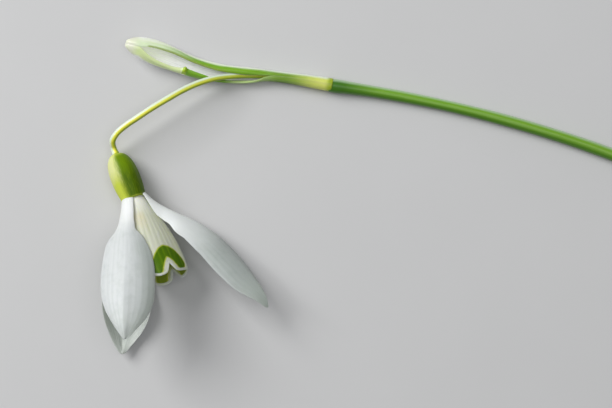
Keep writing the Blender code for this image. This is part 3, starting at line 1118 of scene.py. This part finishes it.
@dataclass(frozen=True)
class Pedicel:
    """The thin stalk from the node, through the spathe's slit, to the ovary."""

    radius: Pairs = (
        (0.0, 0.36), (0.22, 0.36), (0.40, 0.43), (0.55, 0.45), (0.8, 0.43), (1.0, 0.44),
    )
    route: tuple[tuple[float, float, float], ...] = (
        (-0.15, 0.02, 1.06), (-4.53, 0.78, 1.04), (-9.06, 1.33, 1.06), (-11.30, 1.36, 1.22),
        (-13.00, 1.34, 1.55), (-14.50, 1.20, 2.02), (-16.36, 0.92, 2.62), (-18.59, 0.27, 3.20),
        (-20.81, -0.71, 3.60), (-23.04, -1.98, 3.85), (-25.27, -3.32, 4.00),
        (-27.50, -4.80, 4.00), (-29.13, -5.89, 3.85), (-30.18, -6.79, 3.62),
        (-30.75, -7.57, 3.40),
    )
    flare: float = 0.16
    turn_span: float = 2.0
    count: int = 340
    around: int = 36

    def skin(self, head: Placement, ovary: Ovary) -> Skin:
        """A round stalk that flares where it meets the ovary.

        Args:
            head: carries the head's frame to the stem's.
            ovary: what the stalk ends at.

        Returns:
            The skin.
        """
        heights = (ovary.length + 0.9 * MM, ovary.length - 0.02 * MM)
        ending = [head.carry(ovary.point(height)) for height in heights]
        path = even_path([*(np.array(self.route) * MM), *ending], self.count)
        share = np.linspace(0, 1, self.count)
        t = ring_angles(self.around)
        radius = through(self.radius, share) * MM
        uneven = 0.012 * np.sin(90 * share) * share
        radius = radius * (1 + self.flare * eased(share, 0.985, 1.0) + uneven)
        ripple = 1 + 0.02 * np.sin(5 * t + 6 * share[:, None]) + 0.01 * np.sin(11 * t)
        close = 0.8 + 0.2 * rounded_ends(share, 0.004, 0.001)
        rings = tube_rings(path, radius * close, ripple, self.around)
        return Skin(rings, {"along": share[:, None], "turn": self.turn_span * np.cos(t)})

    def piece(self, head: Placement, ovary: Ovary) -> Piece:
        """Makes the pedicel in its finish.

        Args:
            head: carries the head's frame to the stem's.
            ovary: what the stalk ends at.

        Returns:
            The piece.
        """
        finish = StalkFinish(
            "pedicel_skin", young=(0.38, 0.52, 0.008), grown=(0.86, 0.83, 0.060),
            line=(0.90, 0.88, 0.28), foot=(0.22, 0.35, 0.01), foot_share=0.02,
            # painted highlight along the stalk's upper side, painted shade along its lower side
            painted_highlight=(0.66, 0.77, 0.72), flank=(0.0, 1.1),
            under=(0.22, 0.33, 0.003), under_side=(-0.5, -1.7), roughness=0.30,
        )
        skin = self.skin(head, ovary)
        return Piece("flower_stalk", "pedicel", "pedicel", skin, finish.material())


@dataclass(frozen=True)
class Sheet:
    """A petal's blade before it is thickened: a midrib in the XZ plane and arcs across it.

    Attributes:
        turn: the midrib's angle from Z at each row, whose steps add up to its points.
        length: the midrib's length.
        half_width: the arc's half length at each row.
        hollow: the arc's half angle at each row.
        twist: each row's roll about the midrib.
        sway: how far each row is shifted sideways.
    """

    turn: np.ndarray
    length: float
    half_width: np.ndarray
    hollow: np.ndarray
    twist: np.ndarray
    sway: np.ndarray

    def surface(self, across: np.ndarray, lift: np.ndarray) -> np.ndarray:
        """Points on the blade, lifted off it along its outward normal.

        Args:
            across: rows by points, place between the margins, about -1 to 1.
            lift: rows by points, how far each point is lifted outwards.

        Returns:
            Rows by points by x, y, z.
        """
        step = self.length / (len(self.turn) - 1)
        middle = (self.turn[1:] + self.turn[:-1]) / 2
        x = np.concatenate([[0.0], np.cumsum(step * np.sin(middle))])
        z = np.concatenate([[0.0], np.cumsum(step * np.cos(middle))])
        radius = (self.half_width / self.hollow)[:, None]
        angle = self.hollow[:, None] * across
        y = (radius + lift) * np.sin(angle)
        n = (radius + lift) * np.cos(angle) - radius
        cosine, sine = np.cos(self.twist)[:, None], np.sin(self.twist)[:, None]
        y, n = y * cosine + n * sine, n * cosine - y * sine
        y = y + self.sway[:, None]
        place_x = x[:, None] + n * np.cos(self.turn)[:, None]
        place_z = z[:, None] - n * np.sin(self.turn)[:, None]
        return np.stack([place_x, y, place_z], axis=-1)


def petal_ring(around: int) -> tuple[np.ndarray, np.ndarray]:
    """A petal's thin ring: over its outer face and back over its inner one."""
    t = ring_angles(around)
    return -np.cos(t), np.abs(np.sin(t)) ** 0.55 * np.sign(np.sin(t))


@dataclass(frozen=True)
class OuterTepal:
    """A long outer petal: a narrow, twisted claw, then a hollow, bowed blade.

    Attributes:
        seat: where it is fixed, in degrees round the head's axis.
        lean: the way it opens towards, in degrees round the same axis.
        opening: its angle from the axis at the claw, in degrees.
        flare, bow, roll: its outward start, inward bend and turn about itself, in degrees.
        wave: the phase of its flutes and waves.
        sway: how far the midrib is shifted sideways, in millimetres.
        low_side, high_side: factors on the half width either side of the midrib.
        twist_share: where on the length the claw turns the blade by `roll`.
    """

    name: str
    node: str
    length: float
    half_width: float
    seat: float
    lean: float
    opening: float
    flare: float
    bow: float
    roll: float
    wave: float
    sway: Pairs
    low_side: Pairs
    high_side: Pairs
    finish: PetalFinish
    twist_share: tuple[float, float] = (0.05, 0.36)
    outline: Pairs = (
        (0.0, 0.26), (0.10, 0.30), (0.19, 0.32), (0.24, 0.40), (0.29, 0.62), (0.35, 0.79),
        (0.43, 0.92), (0.50, 0.98), (0.58, 1.0), (0.65, 0.98), (0.72, 0.91), (0.79, 0.77),
        (0.86, 0.57), (0.93, 0.35), (0.98, 0.17), (1.0, 0.09),
    )
    hollow: Pairs = ((0.0, 38), (0.25, 34), (0.6, 46), (0.8, 43), (1.0, 34))
    hook: float = math.radians(18.0)
    seat_radius: float = 1.62 * MM
    seat_gap: float = -0.12 * MM
    thickness: float = 0.30 * MM
    keel: float = 0.17 * MM
    margin_wave: float = 0.12 * MM
    dent: float = 0.08 * MM
    flutes: float = 5.5
    count: int = 220
    around: int = 144

    def skin(self, head: Placement) -> Skin:
        """The blade, its outer and inner faces half a thickness off it.

        The faces meet in rounded margins. A soft keel, shallow flutes between the veins
        and a slow wave near the margins are added to the lift.

        Args:
            head: carries the head's frame to the stem's.

        Returns:
            The skin.
        """
        share = np.linspace(0, 1, self.count)
        across, side = petal_ring(self.around)
        flare, bow, roll = (math.radians(angle) for angle in (self.flare, self.bow, self.roll))
        turn = -bow * np.clip((share - 0.1) / 0.9, 0, 1) - self.hook * eased(share, 0.84, 1.0)
        turn = turn - flare * (1 - eased(share, 0.0, 0.2))
        width = self.half_width * through(self.outline, share)
        width = width * (0.25 + 0.75 * rounded_ends(share, 0.004, 0.022))
        twist = roll * (eased(share, *self.twist_share) - 1)
        sway = through(self.sway, share) * MM
        hollow = np.radians(through(self.hollow, share))
        sheet = Sheet(turn, self.length, width, hollow, twist, sway)
        s, a = share[:, None], across[None, :]
        low = np.interp(share, *zip(*self.low_side))[:, None]
        high = np.interp(share, *zip(*self.high_side))[:, None]
        stretched = a * np.where(a < 0, low, high)
        blade = eased(s, 0.22, 0.5)
        keel = self.keel * np.exp(-((a / 0.20) ** 2)) * eased(s, 0.45, 0.8)
        keel = keel * (1 - eased(s, 0.93, 1.0))
        depth = 0.008 + 0.011 * (0.5 + 0.5 * np.sin(3.1 * a + self.wave))
        flutes = depth * MM * np.cos(2 * np.pi * self.flutes * a + 1.2 * np.sin(5 * s)) * blade
        flutes = flutes * (1 - 0.6 * eased(s, 0.75, 1.0))
        wave = self.margin_wave * a**4 * np.sin(9 * s + 2.2 * a + self.wave) * blade
        dent = self.dent * np.sin(6 * s + 3 * a + 2 * self.wave) * (1 - a**2) * blade
        ends = 0.3 + 0.7 * rounded_ends(share, 0.01, 0.03)[:, None]
        lift = self.thickness / 2 * side * ends * (1 - 0.35 * a**2) + keel + flutes + wave + dent
        turns = (self.lean, "Z"), (self.opening, "Y"), (self.roll, "Z")
        own = Placement.seated(self.seat_radius, self.seat, self.seat_gap, *turns)
        rings = head.carry(own.carry(sheet.surface(stretched, lift)))
        marks = {"along": s, "across": a, "side": side}
        return Skin(rings, marks, (Cap.ZIP, Cap.ZIP))

    def piece(self, head: Placement) -> Piece:
        """Makes the petal in its finish."""
        material = self.finish.material()
        return Piece(self.name, self.node, "outer_tepal", self.skin(head), material)


@dataclass(frozen=True)
class InnerTepal:
    """A short inner petal: a wedge that widens to two lobes with a notch between them.

    Attributes:
        azimuth: where it stands, in degrees round the head's axis.
        plus_corner, minus_corner: how much shorter it is at each margin's corner.
        tuck: how far one margin runs on under its neighbour near the base.
        outline: its half width along the length, in millimetres.
        notch_depth, minus_notch, plus_notch: the notch, in shares of length and width.
        mark_line: half the green mark's middle line, in millimetres from the lobes' ends.
        mark_radius: half the mark's thickness, in millimetres.
    """

    name: str
    node: str
    azimuth: float
    length: float
    plus_corner: float = 0.05
    minus_corner: float = 0.05
    tuck: float = 0.0
    seat_radius: float = 1.02 * MM
    seat_gap: float = -0.16 * MM
    outline: Pairs = (
        (0.0, 1.20), (0.10, 1.38), (0.28, 2.02), (0.42, 2.52), (0.56, 2.94), (0.70, 3.24),
        (0.85, 3.38), (1.0, 3.36),
    )
    flare: float = math.radians(19.0)
    hollow: Pairs = ((0.0, 44), (0.3, 36), (1.0, 32))
    thickness: float = 0.24 * MM
    flute_height: float = 0.012 * MM
    curl: float = 0.10 * MM
    lip: float = 0.10 * MM
    notch_depth: float = 0.112
    minus_notch: float = 0.27
    plus_notch: float = 0.27
    mark_line: tuple[tuple[float, float], ...] = (
        (0.0, 3.22), (0.45, 3.06), (0.95, 2.62), (1.50, 1.92), (1.85, 1.28), (1.94, 0.98),
    )
    mark_radius: float = 0.80
    count: int = 170
    around: int = 184

    def reach(self, across: np.ndarray) -> np.ndarray:
        """How far along the petal each line of it runs: less in the notch and at corners.

        The notch is a V with a rounded foot, and the lobes are rounded on both sides.

        Args:
            across: place between the margins, -1 to 1.

        Returns:
            Shares of the length.
        """
        a = np.sqrt(across**2 + 0.016**2)
        width = np.where(across > 0, self.plus_notch, self.minus_notch)
        notch = self.notch_depth * np.clip(1 - a / width, 0, 1) ** 1.15
        corner = np.where(across > 0, self.plus_corner, self.minus_corner)
        corner = corner * np.clip((a - 0.5) / 0.5, 0, 1) ** 1.8
        shoulder = 0.012 * np.exp(-(((a - width) / 0.10) ** 2))
        return 1 - notch - corner - shoulder

    def mark_depth(self, x: np.ndarray, y: np.ndarray) -> np.ndarray:
        """Distance from the middle line of the green mark, in radii of the mark.

        The line is an upturned V with bent arms, the same on both sides, and the distance
        is to the nearest of its straight parts.

        Args:
            x: place across the petal, in millimetres.
            y: distance above the lobes' ends, in millimetres.

        Returns:
            The distances: 1 at the mark's edge.
        """
        line = np.array(self.mark_line)
        nearest = np.full(np.broadcast(x, y).shape, np.inf)
        for start, end in zip(line[:-1], line[1:]):
            run = end - start
            dx, dy = np.abs(x) - start[0], y - start[1]
            t = np.clip((dx * run[0] + dy * run[1]) / (run @ run), 0, 1)
            nearest = np.minimum(nearest, np.hypot(dx - t * run[0], dy - t * run[1]))
        return nearest / self.mark_radius

    def rim_distance(self, x: np.ndarray, y: np.ndarray, width: float) -> np.ndarray:
        """Distance from the petal's end margin, by the nearest of many points on it.

        Args:
            x: place across the petal, in millimetres.
            y: distance above the lobes' ends, in millimetres.
            width: half the petal's width at its end, in millimetres.

        Returns:
            The distances in millimetres.
        """
        across = np.linspace(-1, 1, 161)
        edge_x = across * width
        edge_y = (1 - self.reach(across)) * self.length / MM
        flat_x, flat_y = x.ravel()[:, None], y.ravel()[:, None]
        return np.hypot(flat_x - edge_x, flat_y - edge_y).min(axis=1).reshape(x.shape)

    def skin(self, head: Placement) -> Skin:
        """The wedge, trimmed to its reach, its faces half a thickness off it.

        Args:
            head: carries the head's frame to the stem's.

        Returns:
            The skin.
        """
        full = np.linspace(0, 1, self.count)
        across, side = petal_ring(self.around)
        turn = self.flare * (1 - full)
        width = through(self.outline, full) * MM
        hollow = np.radians(through(self.hollow, full))
        still = np.zeros(self.count)
        sheet = Sheet(turn, self.length, width, hollow, still, still)
        tucked = 1 + self.tuck * (across > 0) * (1 - eased(full[:, None], 0.45, 0.95))
        a = across[None, :] * tucked
        mid = sheet.surface(a, 0.0 * a)
        out = sheet.surface(a, MM + 0.0 * a) - mid
        spread = full**0.85
        reach = spread[:, None] * self.reach(across)[None, :]
        low = np.clip(reach * (self.count - 1), 0, self.count - 1.0001)
        row = low.astype(int)
        part = (low - row)[..., None]
        column = np.arange(self.around)[None, :]
        base = mid[row, column] * (1 - part) + mid[row + 1, column] * part
        normal = out[row, column] * (1 - part) + out[row + 1, column] * part
        close = 0.12 + 0.88 * rounded_ends(spread, 0.01, 0.02)[:, None]
        flutes = self.flute_height * np.cos(2 * np.pi * 4.5 * a + 1.5 * np.sin(4 * reach + 2 * a))
        flutes = flutes * eased(reach, 0.15, 0.5)
        flutes = flutes * (1 - 0.7 * eased(reach, 0.68, 0.85))
        curl = self.curl * np.sin(3.1 * a + 8 * reach) * eased(reach, 0.3, 0.9) * (1 - a**2)
        lip = -self.lip * eased(reach, 0.93, 1.0)
        lift = self.thickness / 2 * side * close * (1 - 0.3 * a**2) + flutes + curl + lip
        rings = base + normal * (lift / MM)[..., None]
        seat = self.seat_radius, self.azimuth, self.seat_gap
        rings = head.carry(Placement.seated(*seat, (self.azimuth, "Z")).carry(rings))
        half = np.interp(reach, full, width) / MM
        x = half * a
        y = (1 - reach) * self.length / MM
        rim = np.minimum(self.rim_distance(x, y, half[-1, 0]), (1 - np.abs(a)) * half)
        marks = {"along": reach, "across": a, "side": side, "rim": rim}
        marks["mark_depth"] = self.mark_depth(x, y)
        return Skin(rings, marks, (Cap.ZIP, Cap.ZIP))

    def piece(self, head: Placement, finish: bpy.types.Material) -> Piece:
        """Makes the petal."""
        return Piece(self.name, self.node, "inner_tepal", self.skin(head), finish)


@dataclass(frozen=True)
class Rod:
    """A slender turned piece inside the cup: a stamen or the style."""

    name: str
    node: str
    slot: str
    length: float
    profile: Pairs
    azimuth: float = 0.0
    circle: float = 0.0
    spread: float = 0.0
    lobes: float = 0.0
    gap: float = 0.06 * MM
    count: int = 90
    around: int = 28

    def skin(self, head: Placement) -> Skin:
        """Rings of radius r(z), with two lobes if it is an anther.

        Args:
            head: carries the head's frame to the stem's.

        Returns:
            The skin.
        """
        share = np.linspace(0, 1, self.count)
        t = ring_angles(self.around)
        radius = through(self.profile, share)[:, None] * MM
        swell = eased(share, 0.2, 0.26)[:, None] * (1 - eased(share, 0.9, 1.0))[:, None]
        ripple = 1 + self.lobes * swell * (np.abs(np.cos(t)) - 0.75)
        z = share[:, None] * self.length * np.ones_like(ripple)
        rings = np.stack([radius * ripple * np.cos(t), radius * ripple * np.sin(t), z], axis=-1)
        turns = (self.azimuth, "Z"), (self.spread, "Y")
        own = Placement.seated(self.circle, self.azimuth, self.gap, *turns)
        return Skin(head.carry(own.carry(rings)), {"along": share[:, None]})

    def piece(self, head: Placement, finish: bpy.types.Material) -> Piece:
        """Makes the rod."""
        return Piece(self.name, self.node, self.slot, self.skin(head), finish)


@dataclass(frozen=True)
class Head:
    """The flower head: ovary, petals, stamens and style round one axis."""

    place: tuple[float, float, float] = (-28.0 * MM, -15.82 * MM, 3.02 * MM)
    lean: float = math.radians(20.0)
    lift: float = math.radians(8.5)
    ovary: Ovary = Ovary()
    outer: tuple[OuterTepal, ...] = (
        OuterTepal(
            "petal_upper", "outer_tepal_upper", length=21.4 * MM, half_width=4.10 * MM,
            seat=126, lean=123, opening=31, flare=3, bow=21, roll=-32, wave=0.4,
            sway=((0.0, 0.0), (0.35, 0.0), (0.7, 0.14), (1.0, 0.26)),
            low_side=(
                (0.0, 1.0), (0.2, 0.98), (0.25, 0.84), (0.29, 0.95), (0.4, 1.02), (0.5, 1.08),
                (0.6, 1.12), (0.7, 1.20), (0.8, 1.36), (0.88, 1.48), (0.94, 1.42), (1.0, 1.1),
            ),
            high_side=(
                (0.0, 1.9), (0.1, 1.9), (0.15, 1.6), (0.2, 1.42), (0.25, 1.34), (0.3, 1.04),
                (0.4, 0.94), (0.5, 0.92), (0.65, 0.95), (0.8, 1.0), (1.0, 1.0),
            ),
            # painted shade on the half of the blade that faces away from the light
            finish=PetalFinish("petal_upper_skin", shade_side=(-0.15, -0.95)),
            seat_radius=1.50 * MM,
        ),
        OuterTepal(
            "petal_lower", "outer_tepal_lower", length=22.1 * MM, half_width=3.88 * MM,
            seat=230, lean=218, opening=31.5, flare=3, bow=21, roll=33.5, wave=2.1,
            sway=((0.0, 0.0), (0.35, 0.0), (0.7, -0.13), (1.0, -0.24)),
            low_side=((0.0, 1.2), (0.3, 1.1), (0.4, 1.0), (0.6, 0.98), (0.85, 0.94), (1.0, 0.95)),
            high_side=(
                (0.0, 1.0), (0.45, 1.0), (0.6, 1.10), (0.7, 1.24), (0.8, 1.38), (0.88, 1.48),
                (0.94, 1.4), (1.0, 1.1),
            ),
            # a darker copy of the white petal finish: painted shade
            finish=PetalFinish(
                "petal_lower_skin", flesh=(0.50, 0.54, 0.50), vein=(0.45, 0.49, 0.45),
                tip=(0.46, 0.49, 0.46),
            ),
        ),
        OuterTepal(
            "petal_side", "outer_tepal_side", length=24.3 * MM, half_width=3.86 * MM,
            seat=4, lean=4, opening=43, flare=14, bow=31, roll=28, wave=4.0,
            sway=(
                (0.0, 0.05), (0.1, 0.42), (0.22, 0.38), (0.35, 0.04), (0.5, -0.12),
                (0.65, 0.22), (0.8, 0.62), (0.92, 0.92), (1.0, 1.14),
            ),
            low_side=(
                (0.0, 0.25), (0.1, 0.25), (0.22, 0.62), (0.35, 0.90), (0.5, 1.0), (0.8, 1.08),
                (0.9, 1.25), (1.0, 1.2),
            ),
            high_side=(
                (0.0, 0.8), (0.08, 1.15), (0.15, 1.55), (0.20, 1.56), (0.28, 1.24),
                (0.36, 1.02), (0.5, 1.0), (0.7, 1.10), (0.8, 1.22), (0.88, 1.28),
                (0.95, 1.24), (1.0, 1.1),
            ),
            # and the darker flesh and the margin's shade colour are painted shade
            # painted light and shade: the claw's bright colour fades out past the middle, as
            # painted light,
            finish=PetalFinish(
                "petal_side_skin", flesh=(0.46, 0.50, 0.48), vein=(0.36, 0.41, 0.38),
                claw=(0.86, 0.90, 0.88), tip=(0.58, 0.65, 0.58), shade=(0.24, 0.28, 0.26),
                shade_side=(-0.20, -0.95), claw_share=(0.62, 0.24),
            ),
            twist_share=(0.0, 0.18),
            hollow=((0.0, 38), (0.25, 34), (0.6, 44), (0.8, 38), (1.0, 28)),
        ),
    )
    inner: tuple[InnerTepal, ...] = (
        InnerTepal(
            "cup_front", "inner_tepal_front", azimuth=56, length=12.75 * MM, plus_corner=0.07,
            minus_corner=0.0, tuck=0.30, seat_radius=1.12 * MM, plus_notch=0.19,
        ),
        InnerTepal("cup_left", "inner_tepal_left", azimuth=175, length=12.6 * MM),
        InnerTepal(
            "cup_back", "inner_tepal_back", azimuth=300, length=13.3 * MM, minus_notch=0.20,
        ),
    )
    stamen_profile: Pairs = (
        (0.0, 0.13), (0.20, 0.11), (0.24, 0.30), (0.32, 0.36), (0.60, 0.30), (0.88, 0.15),
        (1.0, 0.04),
    )
    style_profile: Pairs = ((0.0, 0.19), (0.5, 0.15), (0.9, 0.17), (1.0, 0.08))

    def placement(self) -> Placement:
        """Where the head's frame lies in the stem's.

        Returns:
            The placement.
        """
        lean = Matrix.Rotation(self.lean, 4, "Z")
        lift = Matrix.Rotation(math.radians(90) - self.lift, 4, "X")
        return Placement.of(Matrix.Translation(self.place) @ (lean @ lift))

    def rods(self) -> list[Rod]:
        """The six stamens.

        Returns:
            Their shapes.
        """
        return [
            Rod(
                f"stamen_{index}_skin", f"stamen_{index}", "stamen", 6.5 * MM, self.stamen_profile,
                azimuth=60.0 * index - 30.0, circle=0.66 * MM, spread=4.0, lobes=0.35,
            )
            for index in range(1, 7)
        ]

    def pieces(self) -> list[Piece]:
        """Makes every piece of the head.

        Returns:
            The pieces.
        """
        place = self.placement()
        cup = InnerFinish().material()
        anther = StamenFinish().material()
        style = Rod("style_skin", "style", "style", 8.2 * MM, self.style_profile)
        ivory = PlainFinish("style_ivory", (0.74, 0.78, 0.56), roughness=0.5).material()
        return [
            self.ovary.piece(place),
            *(petal.piece(place) for petal in self.outer),
            *(petal.piece(place, cup) for petal in self.inner),
            *(rod.piece(place, anther) for rod in self.rods()),
            style.piece(place, ivory),
        ]


@dataclass(frozen=True)
class Snowdrop:
    """The whole flower: stem, spathe, pedicel and head."""

    scape: Scape = Scape()
    spathe: Spathe = Spathe()
    pedicel: Pedicel = Pedicel()
    head: Head = Head()

    def build(self) -> list[bpy.types.Object]:
        """Adds every piece to the scene.

        Returns:
            The objects.
        """
        place = self.head.placement()
        pieces = [
            self.scape.piece(),
            self.spathe.piece(),
            self.pedicel.piece(place, self.head.ovary),
            *self.head.pieces(),
        ]
        return [piece.add() for piece in pieces]


# Studio


@dataclass(frozen=True)
class Lamp:
    """A soft square light that faces the flower."""

    name: str
    place: tuple[float, float, float]
    size: float
    power: float

    def add(self, target: Vector) -> None:
        """Adds the light.

        Args:
            target: what it faces.
        """
        data = bpy.data.lights.new(self.name, "AREA")
        data.size = self.size
        data.energy = self.power
        lamp = bpy.data.objects.new(self.name, data)
        lamp.location = target + Vector(self.place)
        lamp.rotation_mode = "QUATERNION"
        lamp.rotation_quaternion = (-Vector(self.place)).to_track_quat("-Z", "Y")
        bpy.context.scene.collection.objects.link(lamp)


@dataclass(frozen=True)
class Studio:
    """The surface, the lights and the camera straight above."""

    centre: tuple[float, float] = (-31.594 * MM, -1.039 * MM)
    camera_height: float = 360 * MM
    sensor: float = 36.0
    lens: float = 149.16
    floor_span: float = 6.0
    floor_colour: Colour = (0.58, 0.58, 0.58)
    sky: Colour = (0.95, 0.97, 1.0)
    sky_strength: float = 0.23
    lamps: tuple[Lamp, ...] = (
        Lamp("key", (-0.40, 0.28, 0.38), 0.34, 3.4),
        Lamp("top", (0.06, 0.04, 0.60), 0.40, 0.8),
    )

    def floor(self) -> None:
        """Adds the plain surface that the flower lies on."""
        half = self.floor_span / 2
        mesh = bpy.data.meshes.new("surface")
        corners = [(-half, -half, 0), (half, -half, 0), (half, half, 0), (-half, half, 0)]
        mesh.from_pydata(corners, [], [(0, 1, 2, 3)])
        finish = PlainFinish(
            "surface_paint", self.floor_colour, roughness=0.75, grain=60.0, depth=0.1 * MM
        )
        mesh.materials.append(finish.material())
        surface = bpy.data.objects.new("surface", mesh)
        bpy.context.scene.collection.objects.link(surface)

    def world(self) -> None:
        """Sets the even light that comes from all round."""
        world = bpy.data.worlds.new("studio_air")
        world.use_nodes = True
        background = world.node_tree.nodes["Background"]
        background.inputs["Color"].default_value = (*self.sky, 1.0)
        background.inputs["Strength"].default_value = self.sky_strength
        bpy.context.scene.world = world

    def camera(self) -> None:
        """Adds the camera, which looks straight down."""
        data = bpy.data.cameras.new("above")
        data.sensor_width = self.sensor
        data.lens = self.lens
        data.clip_start = 0.01
        data.clip_end = 20.0
        camera = bpy.data.objects.new("above", data)
        camera.location = (*self.centre, self.camera_height)
        bpy.context.scene.collection.objects.link(camera)
        bpy.context.scene.camera = camera

    def build(self) -> None:
        """Adds everything round the flower, and shows colours as they are."""
        bpy.context.scene.view_settings.view_transform = "Standard"
        self.floor()
        self.world()
        self.camera()
        target = Vector((*self.centre, 0.0))
        for lamp in self.lamps:
            lamp.add(target)


def main() -> None:
    """Builds the flower and the studio."""
    logging.basicConfig(level=logging.INFO, format="%(name)s: %(message)s")
    Studio().build()
    made = Snowdrop().build()
    LOG.info("%d pieces", len(made))


if __name__ == "__main__":
    main()
